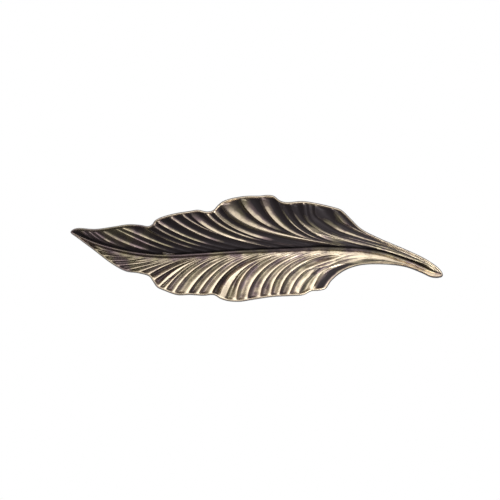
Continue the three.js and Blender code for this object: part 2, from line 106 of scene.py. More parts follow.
flutes = {
    "stemFrom": 32,  # where the flutes of the blade start to turn into those of the stem
    "stemFull": 50,
    "deepest": 1.4,
    "deeper": 1.3,  # how much more the deep flutes are cut
    "end": 0.9,  # length over which a flute comes up to the rim
    "inkEnd": 0.3,  # the same for its patina and painted shade
    "crest": 0.06,  # width of a crest, as a share of the way to the next vein
    "swellRun": 0.25,  # share of a vein over which a broad crest swells
    "roundness": 0.85,  # below 1 the hollows are wide and the crests sharp
    "faintDrop": 0.6,  # how far a faint vein sinks towards the floor of its flutes
    "endHold": 4,  # how near its ends a row is bent to lie on the spine and the rim
    "across": 13,  # faces from vein to vein
    "along": 52,  # faces from the rib to the rim
    "crowding": 0.5,  # how much these lie closer at the rib and at the rim
    "leastReach": 0.01,  # from rim to rib, where a half runs out
}

# The leaf's outline and spine, in percent of its length and of its width
tipPoint = [0, 16.7]
stemPoint = [100, -23.3]
upperEdge = [
    [0.8, 19.5], [2.1, 20.7], [6.7, 19.8], [11.2, 21.8], [15.5, 24.1], [18.7, 23.7], [21, 22.5],
    [22, 24.1], [22.7, 27.4], [23.8, 29.9], [27.6, 34], [32.1, 36.6], [34.3, 37.7], [36.7, 36.1],
    [38.3, 37.3], [39.6, 42], [40.7, 45.2], [42.8, 48.1], [46.9, 50.6], [50.9, 50.9], [53, 51.6],
    [54.6, 50.7], [56.2, 46.4], [57.8, 44.9], [62.1, 45.8], [65.3, 44.4], [70.7, 40.1],
    [72.6, 37.7], [75, 29.9], [77.9, 20.2], [83, 11], [90, 0.6], [95.3, -8.3], [98.6, -16.2],
    [99.6, -20.1],
]
lowerEdge = [
    [1.9, 11.3], [5.9, 0.9], [11.2, -13.1], [15, -20.2], [18.2, -21.8], [21.2, -24.9],
    [22.2, -29.5], [23.3, -34.9], [25.4, -38.4], [28.9, -42.4], [32.1, -42.2], [35.6, -42.9],
    [38.6, -42.4], [40.2, -45.6], [42.3, -47.9], [45.5, -48.5], [48.7, -46.8], [54.1, -44.1],
    [58.9, -43.2], [62.4, -42.3], [64.5, -38.8], [66.7, -38.1], [68.4, -36.4], [70.1, -28.5],
    [73.4, -19.6], [77.5, -14.6], [83.3, -13.6], [89.8, -16.1], [94.4, -22.1], [96.4, -25.4],
    [97.7, -26.4], [98.8, -26.3], [99.8, -25.1],
]
spine = [
    [4, 11.5], [9.4, 4.9], [17.4, -1.3], [25.4, -3.8], [34.8, -2.4], [46.9, 0.4], [58.9, 2.1],
    [66.9, 3.3], [73.6, 2.8], [79, 1.4], [84.3, -1.9], [88.4, -6.6], [92.4, -11.8], [96.4, -18.3],
]

# Veins from the stem to the tip.
# Stem: root and end in percent of the length, and lanes (percent, share from the rim to the spine).
# Blade: root, leaving angle and pull, end, meeting angle and pull.
upperHalf = {
    "side": 1,
    "steepness": 0.26,  # flute depth for each millimetre between two veins
    "lean": 1.1,  # above 1 the floor of a flute lies nearer the tip
    "stemSteepness": 0.2,
    "stemLean": 1,
    "flat": -0.2,  # share of a vein from the rib at which its flutes begin
    "start": 0.2,  # and the share at which they are full
    "corner": 72.3,
    "stem": [
        (99.3, 70.1, [(95, 0.05), (88, 0.04), (79.7, 0.04), (77.8, 0.1), (75.4, 0.22),
                      (73.4, 0.26), (71.5, 0.14)]),
        (99, 65.6, [(95, 0.13), (88, 0.09), (82.5, 0.32), (77, 0.46), (72.3, 0.55), (69.7, 0.44),
                    (68, 0.355), (65.9, 0.245)]),
        (98.6, 64, [(96, 0.32), (90, 0.4), (82, 0.58), (76, 0.64), (71, 0.67), (67, 0.5),
                    (64.6, 0.3)]),
        (98.2, 62.4, [(96.5, 0.55), (92.5, 0.72), (85, 0.84), (77, 0.8), (72.3, 0.78),
                      (66.1, 0.57), (63.2, 0.35)]),
    ],
    "blade": [
        (78.7, 9, 0.38, 58.9, 75, 0.36), (75.8, 11, 0.38, 56, 68, 0.42),
        (74.4, 12, 0.35, 51.1, 72, 0.42), (73.9, 12.5, 0.55, 45.4, 62, 0.3),
        (73.6, 12, 0.4, 40.1, 56, 0.27), (62.9, 8, 0.4, 38.3, 52, 0.27),
        (61, 8, 0.4, 36.5, 50, 0.27), (56, 9, 0.45, 31.9, 48, 0.3), (55.2, 10, 0.4, 29.8, 42, 0.25),
        (48.7, 8, 0.4, 26.5, 38, 0.27), (44.2, 9, 0.4, 22.9, 34, 0.27),
        (40.7, 10, 0.4, 22, 36, 0.27), (36.9, 11, 0.4, 20, 33, 0.27),
        (32.7, 12, 0.4, 13.3, 20, 0.27), (28.9, 13, 0.4, 11.8, 26, 0.27),
        (24.1, 13.5, 0.4, 8.4, 38, 0.27), (17.4, 14, 0.4, 6.2, 44, 0.27),
        (12.9, 14, 0.4, 4.8, 44, 0.27), (8, 14, 0.4, 3.1, 44, 0.27),
    ],
    "broad": {9: (0.12, 0.7)},  # a broad crest's vein, with the width and place of its swell
    "slanted": {7: 0.75, 8: 0.6},  # a flute with a lean of its own
    "faint": [3],
    "deep": [8, 9, 16],
    # painted shadow in the groove above the rib, over its patina
    "grooveDark": 1.2,
    "tipDark": 0.2,
    # dark stripes on the stem: middle and width from the rim (0) to the spine (1), and darkness
    "stripes": [(0.4, 0.11, 0.9), (0.64, 0.13, 0.4)],
    "stripesFrom": (49, 56),
    "stripesFade": (62, 70, 0.5),  # where they fade towards the stem end, and how much
    # where each crest is worn bright and given a painted highlight on its lit side: from, to, how
    # bright and how wide
    "worn": [
        (0, 1.1, 0.9, 0.4), (0, 0.9, 1, 0.45), (0, 0.84, 1, 0.35), (0, 0.7, 0.6, 0.15),
        (0, 0.84, 1, 0.5), (0.4, 0.86, 1, 0.18), (0.36, 0.84, 1, 0.2), (0.38, 0.95, 1, 0.35),
        (0.62, 0.98, 1, 0.45), (0.04, 0.99, 1, 0.6), (0.4, 1.1, 1, 0.3), (0.44, 1.1, 1, 0.4),
        (0.32, 0.92, 1, 0.4), (0.6, 1.1, 1, 0.3), (0.4, 1.1, 0.9, 0.25), (0.35, 1.1, 0.8, 0.22),
        (0.35, 1.1, 0.7, 0.22), (0.3, 1.1, 0.7, 0.22), (0.3, 1.1, 0.7, 0.22), (0.3, 1.1, 0.7, 0.22),
        (0.3, 1.1, 0.75, 0.3), (0.3, 1.1, 0.75, 0.3), (0.3, 1.1, 0.75, 0.3), (0.3, 1.1, 0.75, 0.3),
        (0.3, 1.1, 0.75, 0.3),
    ],
}
lowerHalf = {
    "side": -1,
    "steepness": 0.36,
    "lean": 1.7,
    "stemSteepness": 0.32,
    "stemLean": 1,
    "flat": 0,
    "start": 0.45,
    "corner": 68,
    "stem": [
        (97.5, 64.8, [(94, 0.25), (88, 0.4), (83.3, 0.45), (77.8, 0.35), (72, 0.36), (69.6, 0.43),
                      (67.7, 0.437), (66.4, 0.3)]),
        (92, 61, [(86, 0.7), (79, 0.57), (74, 0.52), (69.5, 0.53), (66.3, 0.53), (62.9, 0.25)]),
        (85.5, 58.6, [(80, 0.87), (75, 0.76), (71, 0.63), (66.9, 0.63), (63.5, 0.53),
                      (60.5, 0.33)]),
    ],
    "blade": [
        (76.3, 3, 0.45, 56, 80, 0.36), (72.3, 3, 0.45, 53.7, 85, 0.36),
        (67.5, 3, 0.4, 50.9, 86, 0.33), (63.7, 3, 0.4, 47.5, 84, 0.33),
        (60.5, 6, 0.42, 44.4, 86, 0.42), (58.9, 8, 0.45, 40.5, 72, 0.33),
        (55.2, 3, 0.4, 37.9, 66, 0.33), (51.4, 3, 0.4, 34.3, 60, 0.33),
        (48.2, 3, 0.4, 31.6, 60, 0.33), (44.4, 3, 0.4, 27.7, 60, 0.33),
        (41.5, 3.5, 0.4, 25.4, 54, 0.33), (40, 4.5, 0.4, 23.6, 45, 0.33),
        (39.1, 6, 0.4, 22.1, 34, 0.33), (34.8, 8, 0.4, 21, 33, 0.33),
        (32.1, 10.5, 0.4, 18.7, 22, 0.33), (28.9, 12.5, 0.4, 15.3, 12, 0.33),
        (25.4, 14.5, 0.4, 12.6, 4, 0.33), (20.5, 16, 0.4, 10.7, 2, 0.33),
        (17.5, 17, 0.4, 8.8, 0, 0.33), (15, 17, 0.4, 6.7, -10, 0.33),
        (10.2, 17, 0.4, 4.3, -15, 0.33),
    ],
    "broad": {9: (0.5, 0.85), 15: (0.5, 0.7)},
    "slanted": {},
    "faint": [2],
    "deep": [9, 15, 16],
    # little painted shadow in the groove below the rib, over its patina
    "grooveDark": 0.1,
    "tipDark": 0.32,
    "stripes": [(0.25, 0.12, 0.7)],
    "stripesFrom": (41, 50),
    "stripesFade": (54, 66, 1),
}

# Patina of the flutes with painted shade and painted highlights, 0 bright metal and 1 black
patinaAndShade = {
    "stemFrom": (44, 60),  # the span where the blade's patina and painted shade give way to the stem's
    "stemHollow": 0.22,  # width of the patina in a flute of the stem
    "stemGroove": 0.7,  # and how far it reaches from the groove there
    "tipTo": (-60, -34),
    "tipShare": 0.9,
    "tipContrast": 0.35,  # what is left at the tip of the contrast between crest and hollow
    # upper half: patina and painted shade, as this half faces down, with painted highlights where
    # crests catch the light
    "brightFade": 0.12,  # share of a vein over which a worn crest and its painted highlight fade
    "leeWidth": 0.3,  # how wide a crest is worn on its far side
    # painted shade in the upper half's flutes beside the rib, where the blade faces down most
    # steeply
    "rootDark": 0.9,
    "rootTo": (0.02, 0.2),  # share of a vein over which its flutes are dark beside the rib
    # lower half: patina with painted shade on the slopes that face away from the light
    "shades": [(0.12, 0.36, 0.24), (0.5, 0.74, 0.5)],  # painted shade across a flute: from, to, how dark
    "crestStart": 0.93,
    "shadeMean": 0.9,  # flutes differ in darkness by the next two values
    "shadeChange": 0.15,
    "shadeTurn": 2.4,
    "shadeRise": 0.7,  # share of a vein over which its flutes darken
    "corner": (0.42, 0.35),  # middle and width of the dark in the stem's first flute
    "cornerFade": (46, 56, 0.85),
    "roots": (0.32, 0.12),  # patina beside the rib, towards the tip and towards the stem
    "rootsChange": (-20, 10),
    "rootsTo": (0.1, 0.5),
}


def mix(a, b, share):
    return a + (b - a) * share


def smooth(low, high, value):
    share = np.clip((value - low) / (high - low), 0, 1)
    return share * share * (3 - 2 * share)


def bell(place, middle, width, power=2):
    return np.exp(-((place - middle) / width) ** power)


def acrossLeaf(percent):
    return (np.asarray(percent) / 100 - 0.5) * leaf["length"]


def onFront(point):
    return np.array([(point[0] / 100 - 0.5) * leaf["length"], point[1] / 100 * leaf["width"]])


def rootGap(a, b):  # square root of a distance, which spaces a centripetal curve
    return max(math.sqrt(math.dist(a, b)), 1e-4)


def curveThrough(points, closed=False, steps=16):  # a centripetal curve and its direction
    points = np.array(points, dtype=float)
    count = len(points)
    spans = count if closed else count - 1
    places, runs = [], []
    for span in range(spans):
        p1 = points[span]
        p2 = points[(span + 1) % count]
        p0 = points[span - 1] if closed or span > 0 else 2 * p1 - p2
        p3 = points[(span + 2) % count] if closed or span + 2 < count else 2 * p2 - p1
        d0, d1, d2 = rootGap(p0, p1), rootGap(p1, p2), rootGap(p2, p3)
        t1 = ((p1 - p0) / d0 - (p2 - p0) / (d0 + d1) + (p2 - p1) / d1) * d1
        t2 = ((p2 - p1) / d1 - (p3 - p1) / (d1 + d2) + (p3 - p2) / d2) * d1
        c2 = -3 * p1 + 3 * p2 - 2 * t1 - t2
        c3 = 2 * p1 - 2 * p2 + t1 + t2
        isLast = span == spans - 1 and not closed
        for step in range(steps + 1 if isLast else steps):
            t = step / steps
            places.append(p1 + t1 * t + c2 * t * t + c3 * t ** 3)
            runs.append(t1 + 2 * c2 * t + 3 * c3 * t * t)
    return np.array(places), np.array(runs)


def keepRising(line):  # without the places where it would turn back along x
    reached = line[0][0]
    kept = [line[0]]
    for sample in line[1:-1]:
        if reached < sample[0] < line[-1][0]:
            kept.append(sample)
            reached = sample[0]
    kept.append(line[-1])
    return np.array(kept)


def makeOutline():
    steps = leaf["outlineSteps"]
    points = [tipPoint, *upperEdge, stemPoint, *reversed(lowerEdge)]
    places, runs = curveThrough([onFront(point) for point in points], True, steps)
    samples = np.column_stack([places, runs[:, 1], -runs[:, 0]])  # x, z and the way into the leaf
    stemStep = (len(upperEdge) + 1) * steps
    upper = keepRising(samples[:stemStep + 1])
    lower = keepRising(np.vstack([samples[:1], samples[stemStep:][::-1]]))
    return {1: upper, -1: lower}


outline = makeOutline()


def edgeAt(side, x, inset):  # the outline moved into the leaf, but never past its middle
    line = outline[side]
    first, last = acrossLeaf(0), acrossLeaf(100)
    x = np.clip(np.asarray(x, dtype=float), first, last)
    inX = np.interp(x, line[:, 0], line[:, 2])
    inZ = np.interp(x, line[:, 0], line[:, 3])
    size = np.hypot(inX, inZ)
    placeX = x + inX / size * inset
    placeZ = np.interp(x, line[:, 0], line[:, 1]) + inZ / size * inset
    upper, lower = (np.interp(placeX, outline[way][:, 0], outline[way][:, 1]) for way in (1, -1))
    middle = (upper + lower) / 2
    reach = np.maximum(side * (placeZ - middle), rim["endShare"] * (upper - lower) / 2)
    reach = np.where((x <= first) | (x >= last), 0, reach)
    return np.stack([placeX, middle + side * reach], axis=-1)


fluteLimit = rim["draft"] + rim["width"]
tipInside = edgeAt(1, acrossLeaf(0), fluteLimit)
stemInside = edgeAt(1, acrossLeaf(100), fluteLimit)
grooveLine = curveThrough([tipInside, *[onFront(point) for point in spine], stemInside])[0]


def grooveAt(x):
    return np.interp(x, grooveLine[:, 0], grooveLine[:, 1])


def ribWidthAt(x):
    toTip = np.clip((x - tipInside[0]) / rib["taper"], 0, 1)
    toStem = np.clip((stemInside[0] - x) / rib["taper"], 0, 1)
    return rib["width"] * np.sqrt(toTip * toStem)


def rootLineAt(side, x):
    return grooveAt(x) - (0 if side > 0 else ribWidthAt(x))


def ribMiddleAt(x):
    return grooveAt(x) - ribWidthAt(x) / 2


def bladeRise(distance):
    return distance * (leaf["bladeSlope"] - leaf["bladeFlattening"] * distance)


def spineAt(x):
    return -leaf["spineHeight"] + leaf["archDrop"] * (2 * x / leaf["length"]) ** 2


def plainFront(side, x, z):
    return spineAt(x) - bladeRise(np.abs(z - rootLineAt(side, x)))


def backAt(x, z):
    softened = np.hypot(z - ribMiddleAt(x), rib["width"]) - rib["width"]
    wall = mix(leaf["bladeWall"], leaf["stemWall"],
               smooth(leaf["stemStart"], leaf["stemFull"], x / leaf["length"] + 0.5))
    return spineAt(x) - bladeRise(softened) + wall


def grooveDip(side, x, z):  # depth of the groove beside the rib
    depth = rib["grooveDepth"] if side > 0 else rib["lowerGrooveDepth"]
    near = np.clip(1 - np.abs(z - rootLineAt(side, x)) / rib["grooveRun"], 0, 1)
    return depth * near * near * (ribWidthAt(x) / rib["width"])


def alongCurve(places, shares):  # by share of the curve's length
    steps = np.concatenate([[0], np.cumsum(np.hypot(*np.diff(places, axis=0).T))])
    reach = steps / steps[-1]
    return np.column_stack([np.interp(shares, reach, places[:, axis]) for axis in (0, 1)])


def stemVein(side, root, end, lanes):
    rootX = acrossLeaf(root)
    points = [np.array([rootX, rootLineAt(side, rootX)])]
    for along, share in lanes:
        x, edge = edgeAt(side, acrossLeaf(along), fluteLimit)
        points.append(np.array([x, mix(edge, rootLineAt(side, x), share)]))
    points.append(edgeAt(side, acrossLeaf(end), fluteLimit))
    return curveThrough(points)[0]


def bladeVein(side, root, leave, rootPull, end, meet, endPull):
    rootX = acrossLeaf(root)
    start = np.array([rootX, rootLineAt(side, rootX)])
    finish = edgeAt(side, acrossLeaf(end), fluteLimit)
    reach = math.dist(start, finish)
    leave, meet = math.radians(leave), math.radians(meet)
    pullA = start + np.array([-math.cos(leave), side * math.sin(leave)]) * rootPull * reach
    pullB = finish + np.array([math.cos(meet), -side * math.sin(meet)]) * endPull * reach
    t = np.linspace(0, 1, 121)[:, None]
    return ((1 - t) ** 3 * start + 3 * (1 - t) ** 2 * t * pullA
            + 3 * (1 - t) * t * t * pullB + t ** 3 * finish)


def crestWidth(half, vein, along):  # share of a flute's width that its crest takes
    width, middle = half["broad"].get(vein, (0, 0.5))
    return flutes["crest"] + width * bell(along, middle, flutes["swellRun"])


def hollow(half, index, share, along, onStem):  # 0 on a crest and 1 on the floor of a flute
    low = crestWidth(half, index, along) / 2
    high = 1 - crestWidth(half, index + 1, along) / 2
    across = np.clip((share - low) / (high - low), 0, 1)
    lean = mix(half["slanted"].get(index, half["lean"]), half["stemLean"], onStem)
    flute = np.abs(np.sin(math.pi * across ** lean)) ** flutes["roundness"]
    here, ahead = (flutes["faintDrop"] * (vein in half["faint"]) for vein in (index, index + 1))
    sunk = mix(here, ahead, share)
    return sunk + (1 - sunk) * flute


def veinLines(half, corner, rows):  # the stem's edge, each vein and the tip, as points on the rows
    side = half["side"]
    stemEdge = mix(acrossLeaf(100), corner, rows ** leaf["cornerRise"])
    lines = [edgeAt(side, stemEdge, fluteLimit)]
    lines += [alongCurve(stemVein(side, *vein), rows) for vein in half["stem"]]
    lines += [alongCurve(bladeVein(side, *vein), rows) for vein in half["blade"]]
    return [*lines, np.repeat(tipInside[None], len(rows), axis=0)]


def fluteWidth(here, there):  # from one vein to the next, square to the first
    run = np.gradient(here, axis=0)
    run /= np.maximum(np.hypot(run[:, 0], run[:, 1]), 1e-9)[:, None]
    gap = there - here
    return np.abs(gap[:, 0] * run[:, 1] - gap[:, 1] * run[:, 0])


def fluteDepth(half, index, width, toRim, rows, onStem):
    steepness = mix(half["steepness"], half["stemSteepness"], onStem)
    deeper = flutes["deeper"] if index in half["deep"] else 1
    rise = smooth(0, 1, toRim / flutes["end"]) * smooth(half["flat"], half["start"], rows)
    return np.minimum(flutes["deepest"], width * steepness) * deeper * rise


def fluteField(half):  # rows from the rib to the rim, each from the stem to the tip
    side = half["side"]
    even = np.linspace(0, 1, flutes["along"] + 1)
    rows = mix(even, smooth(0, 1, even), flutes["crowding"])
    veins = half["stem"] + half["blade"]
    roots = np.array([stemInside[0], *acrossLeaf([vein[0] for vein in veins]), tipInside[0]])
    ends = acrossLeaf([half["corner"], *[vein[1] for vein in half["stem"]],
                       *[vein[3] for vein in half["blade"]], 0])
    lines = veinLines(half, ends[0], rows)
    columns, depths, inks, shares = [], [], [], []
    for index in range(len(lines) - 1):
        here, there = lines[index], lines[index + 1]
        toRim = (1 - rows) * np.hypot(*np.diff(here, axis=0).T).sum()
        width = fluteWidth(here, there)
        onStem = smooth(flutes["stemFrom"], flutes["stemFull"], here[:, 0])
        depth = fluteDepth(half, index, width, toRim, rows, onStem)
        for share in np.arange(flutes["across"]) / flutes["across"]:
            place = mix(here, there, share)
            rootX = mix(roots[index], roots[index + 1], share)
            root = np.array([rootX, rootLineAt(side, rootX)])
            edge = edgeAt(side, mix(ends[index], ends[index + 1], share), fluteLimit)
            toRoot = np.outer((1 - rows) ** flutes["endHold"], root - place[0])
            toEdge = np.outer(rows ** flutes["endHold"], edge - place[-1])
            columns.append(place + toRoot + toEdge)
            depths.append(depth * hollow(half, index, share, rows, onStem))
            ink = np.minimum(width, 1) * smooth(0, flutes["inkEnd"], toRim)
            if side < 0:  # the crests of the lower half stay bright
                ink = ink * (share > crestWidth(half, index, rows) / 2)
                ink = ink * (share < 1 - crestWidth(half, index + 1, rows) / 2)
            inks.append(ink)
            shares.append(share)
    x, z = np.array([*columns, lines[-1]]).transpose(2, 1, 0)
    depth, ink = (np.array([*values, np.zeros(len(rows))]).T for values in (depths, inks))
    front = plainFront(side, x, z) + grooveDip(side, x, z) + depth
    index = np.repeat(np.arange(len(lines)), flutes["across"])[:x.shape[1]]
    tone = patinaAndShadeOver(half, ink, index, np.array([*shares, 0]), rows[:, None], x, z)
    return np.stack([x, front, z], axis=-1), tone, ends, rows


def rubbedAndLit(worn, along):  # how bright a crest is, worn and with a painted highlight, at a share of its length
    start, finish, amount = worn[:, 0], worn[:, 1], worn[:, 2]
    fade = patinaAndShade["brightFade"]
    begun = smooth(start - fade, start + fade, along)
    return amount * begun * (1 - smooth(finish - fade, finish + fade, along))


def upperPatinaAndShade(half, ink, index, share, along, onStem):  # flutes dark with patina and painted shade under worn crests with painted highlights
    worn = np.array(half["worn"])
    here, ahead = worn[index], worn[np.minimum(index + 1, len(worn) - 1)]
    # painted highlight on the side of each flute that rises to the next crest and faces the light
    lit = bell(share, 1, ahead[:, 3], 4) * rubbedAndLit(ahead, along)
    lee = bell(share, 0, patinaAndShade["leeWidth"] * here[:, 3]) * rubbedAndLit(here, along)
    root = patinaAndShade["rootDark"] * (1 - smooth(*patinaAndShade["rootTo"], along)) * (1 - onStem)
    # the rest of the flute is painted dark: patina with painted shade
    dark = np.maximum(1 - np.maximum(lit, lee), root)
    return mix(dark, bell(share, 0.5, patinaAndShade["stemHollow"]), onStem) * ink


def lowerPatinaAndShade(ink, index, share, along, x):  # bright flutes with painted shade that darkens towards the next crest, on the slope facing away from the light
    slopeShade = sum(amount * smooth(low, high, share) for low, high, amount in patinaAndShade["shades"])
    slopeShade = slopeShade * (share < patinaAndShade["crestStart"])
    change = patinaAndShade["shadeChange"] * np.sin(patinaAndShade["shadeTurn"] * index)
    slopeShade = slopeShade * (patinaAndShade["shadeMean"] + change)
    low, high, loss = patinaAndShade["cornerFade"]
    corner = bell(share, *patinaAndShade["corner"], 4) * (1 - loss * smooth(low, high, x))
    dark = np.where(index == 0, corner, slopeShade * smooth(0, patinaAndShade["shadeRise"], along)) * ink
    root = mix(*patinaAndShade["roots"], smooth(*patinaAndShade["rootsChange"], x))
    return np.maximum(dark, root * (1 - smooth(*patinaAndShade["rootsTo"], along)))


def patinaAndShadeOver(half, ink, index, share, along, x, z):
    side = half["side"]
    onStem = smooth(*patinaAndShade["stemFrom"], x)
    if side > 0:
        dark = upperPatinaAndShade(half, ink, index, share, along, onStem)
    else:
        dark = lowerPatinaAndShade(ink, index, share, along, x)
    edge = edgeAt(side, x, fluteLimit)[..., 1]
    reach = np.maximum(side * (edge - rootLineAt(side, x)), flutes["leastReach"])
    lane = side * (edge - z) / reach  # 0 at the rim and 1 at the spine
    stripes = sum(amount * bell(lane, middle, width, 4)
                  for middle, width, amount in half["stripes"])
    low, high, loss = half["stripesFade"]
    dark = mix(dark, stripes * (1 - loss * smooth(low, high, x)), smooth(*half["stripesFrom"], x))
    towardTip = 1 - smooth(*patinaAndShade["tipTo"], x)
    atTip = half["tipDark"] + patinaAndShade["tipContrast"] * dark
    dark = mix(dark, atTip, patinaAndShade["tipShare"] * towardTip)
    # painted shadow in the groove beside the rib, over its patina; strong on the upper half, where
    # the groove faces down
    grooveRun = mix(rib["grooveRun"], patinaAndShade["stemGroove"], onStem)
    groove = np.clip(1 - np.abs(z - rootLineAt(side, x)) / grooveRun, 0, 1) ** 2
    return np.clip(dark + groove * half["grooveDark"], 0, 1)


# stores patina together with painted shade and painted highlights, 0 bright and 1 black
def markPatinaAndShade(mesh, tone):
    mark = mesh.attributes.new("patinaAndShade", "FLOAT", "POINT")
    mark.data.foreach_set("value", np.asarray(tone, dtype=np.float32).ravel())


def sheetFrom(name, points, tone):  # a grid primitive laid onto rows of points
    rowCount, columnCount = points.shape[:2]
    bpy.ops.object.select_all(action="DESELECT")
    bpy.ops.mesh.primitive_grid_add(x_subdivisions=columnCount - 1, y_subdivisions=rowCount - 1,
                                    size=1)
    sheet = bpy.context.object
    sheet.name = name
    sheet.data.vertices.foreach_set("co", (points * mm).astype(np.float32).ravel())
    markPatinaAndShade(sheet.data, tone)
    return sheet


def zipFaces(first, second, firstTone, secondTone):  # triangles between two lines along the leaf
    tone = np.concatenate([np.broadcast_to(firstTone, len(first)),
                           np.broadcast_to(secondTone, len(second))])
    faces = []
    i = j = 0
    while i < len(first) - 1 or j < len(second) - 1:
        isFirst = j == len(second) - 1
        if not isFirst and i < len(first) - 1:
            isFirst = first[i + 1][0] >= second[j + 1][0]
        if isFirst:
            faces.append((i, len(first) + j, i + 1))
            i += 1
        else:
            faces.append((i, len(first) + j, len(first) + j + 1))
            j += 1
    mesh = bpy.data.meshes.new("seam")
    mesh.from_pydata((np.vstack([first, second]) * mm).tolist(), [], faces)
    markPatinaAndShade(mesh, tone)
    seam = bpy.data.objects.new("seam", mesh)
    bpy.context.collection.objects.link(seam)
    return seam


def rimAndSide(half, field, ends, rows):  # from the flutes' ends over the bead and down the side
    side = half["side"]
    places = mix(acrossLeaf(100), ends[0], rows[:-1] ** leaf["cornerRise"])
    shares = np.arange(flutes["across"]) / flutes["across"]
    for index in range(len(ends) - 1):
        places = np.concatenate([places, mix(ends[index], ends[index + 1], shares)])
    places = np.concatenate([places, [ends[-1]]])
    lines = [np.vstack([field[:-1, 0], field[-1]])]
    for inset, rise, down, _ in rim["profile"]:
        at = edgeAt(side, places, inset)
        x, z = at[:, 0], at[:, 1]
        y = mix(plainFront(side, x, z), backAt(x, z), down) - rise
        lines.append(np.stack([x, y, z], axis=-1))
    return np.array(lines)


def rimPatinaAndShade(half, wrap):  # one row for the flutes' ends and one for each step of the profile
    x = wrap[:, :, 0]
    row = np.arange(len(wrap))[:, None]
    tone = np.array([0] + [step[3] for step in rim["profile"]])
    tone = np.repeat(tone[:, None], wrap.shape[1], axis=1)
    tone = np.maximum(tone, rim["tipPatina"] * (1 - smooth(*rim["tipTo"], x)))
    # painted shadow on the lower half's side wall
    if half["side"] < 0:
        for low, high, dark, lastBright in rim["shadowEdges"]:
            tone = np.maximum(tone, dark * smooth(low, high, x) * (row > lastBright))
    return tone


def backSheet(backEdges):  # rows from the lower edge over the back to the upper edge
    start, finish = backEdges[1][0], backEdges[1][-1]
    turn = 0.5 - 0.5 * np.cos(np.pi * np.arange(1, back["stations"]) / back["stations"])
    x = mix(start[0], finish[0], mix(back["endGap"], 1 - back["endGap"], turn))
    rows = []
    for share in back["lines"]:
        edge = backEdges[1 if share > 0 else -1][::-1]
        z = mix(ribMiddleAt(x), np.interp(x, edge[:, 0], edge[:, 2]), abs(share))
        rows.append(np.vstack([start, np.stack([x, backAt(x, z), z], axis=-1), finish]))
    return np.array(rows)


def ribSheet():  # the rounded rib, from the lower root line to the groove
    x = mix(stemInside[0], tipInside[0], np.arange(1, rib["stations"]) / rib["stations"])
    start, finish = (np.array([end[0], plainFront(1, *end), end[1]])
                     for end in (stemInside, tipInside))
    lower, upper = (spineAt(x) + grooveDip(side, x, rootLineAt(side, x)) for side in (-1, 1))
    crest = spineAt(x) - rib["height"] * ribWidthAt(x) / rib["width"]
    rows = []
    for share in rib["lines"]:
        z = grooveAt(x) - ribWidthAt(x) * (1 - share)
        y = mix(mix(lower, upper, share), crest, math.sin(math.pi * share) ** rib["roundness"])
        rows.append(np.vstack([start, np.stack([x, y, z], axis=-1), finish]))
    return np.array(rows)


def ribPatina(sheet):
    x = sheet[:, :, 0]
    darkened = smooth(*rib["darkFrom"], x) * (1 - smooth(*rib["darkTo"], x))
    dull = rib["dullPatina"] * (1 - smooth(*rib["dullTo"], x))
    return np.maximum(mix(np.array(rib["patinaAndShade"])[:, None], rib["darkPatina"], darkened), dull)


post = {
    "centres": 64,
    "footDiameter": 9.5,
    "footBevel": 0.4,
    "bevelRound": (0.12, 0.1),  # the bevel's middle, from the foot's side and from its face
    "waistDiameter": 8,
    "flareDiameter": 11.5,
    "flareHeight": 3,
    "flareSteps": (0.2, 0.4, 0.6, 0.8, 1),
    "flareCurve": 2.2,
    "tapDrill": 3.3,  # for an M4 thread
    "holeDepth": 11,
    "holeMouth": 4.3,
    "drillPoint": 0.6,  # height of the drill's cone for each millimetre of its radius
    "sink": 0.45,  # share of the leaf's wall that the top of the post goes into
    "sides": 64,
}


def moveRing(radius, y):  # the selected ring of a post at the origin, to a radius and depth
    mesh = bmesh.from_edit_mesh(bpy.context.object.data)
    for corner in mesh.verts:
        if corner.select:
            flat = Vector((corner.co.x, 0, corner.co.z))
            flat = flat.normalized() * radius * mm if flat.length > 1e-9 else flat
            corner.co = Vector((flat.x, y * mm, flat.z))
    bmesh.update_edit_mesh(bpy.context.object.data)


def extrudeRings(rings):
    for radius, y in rings:
        bpy.ops.mesh.extrude_edges_move()
        moveRing(radius, y)


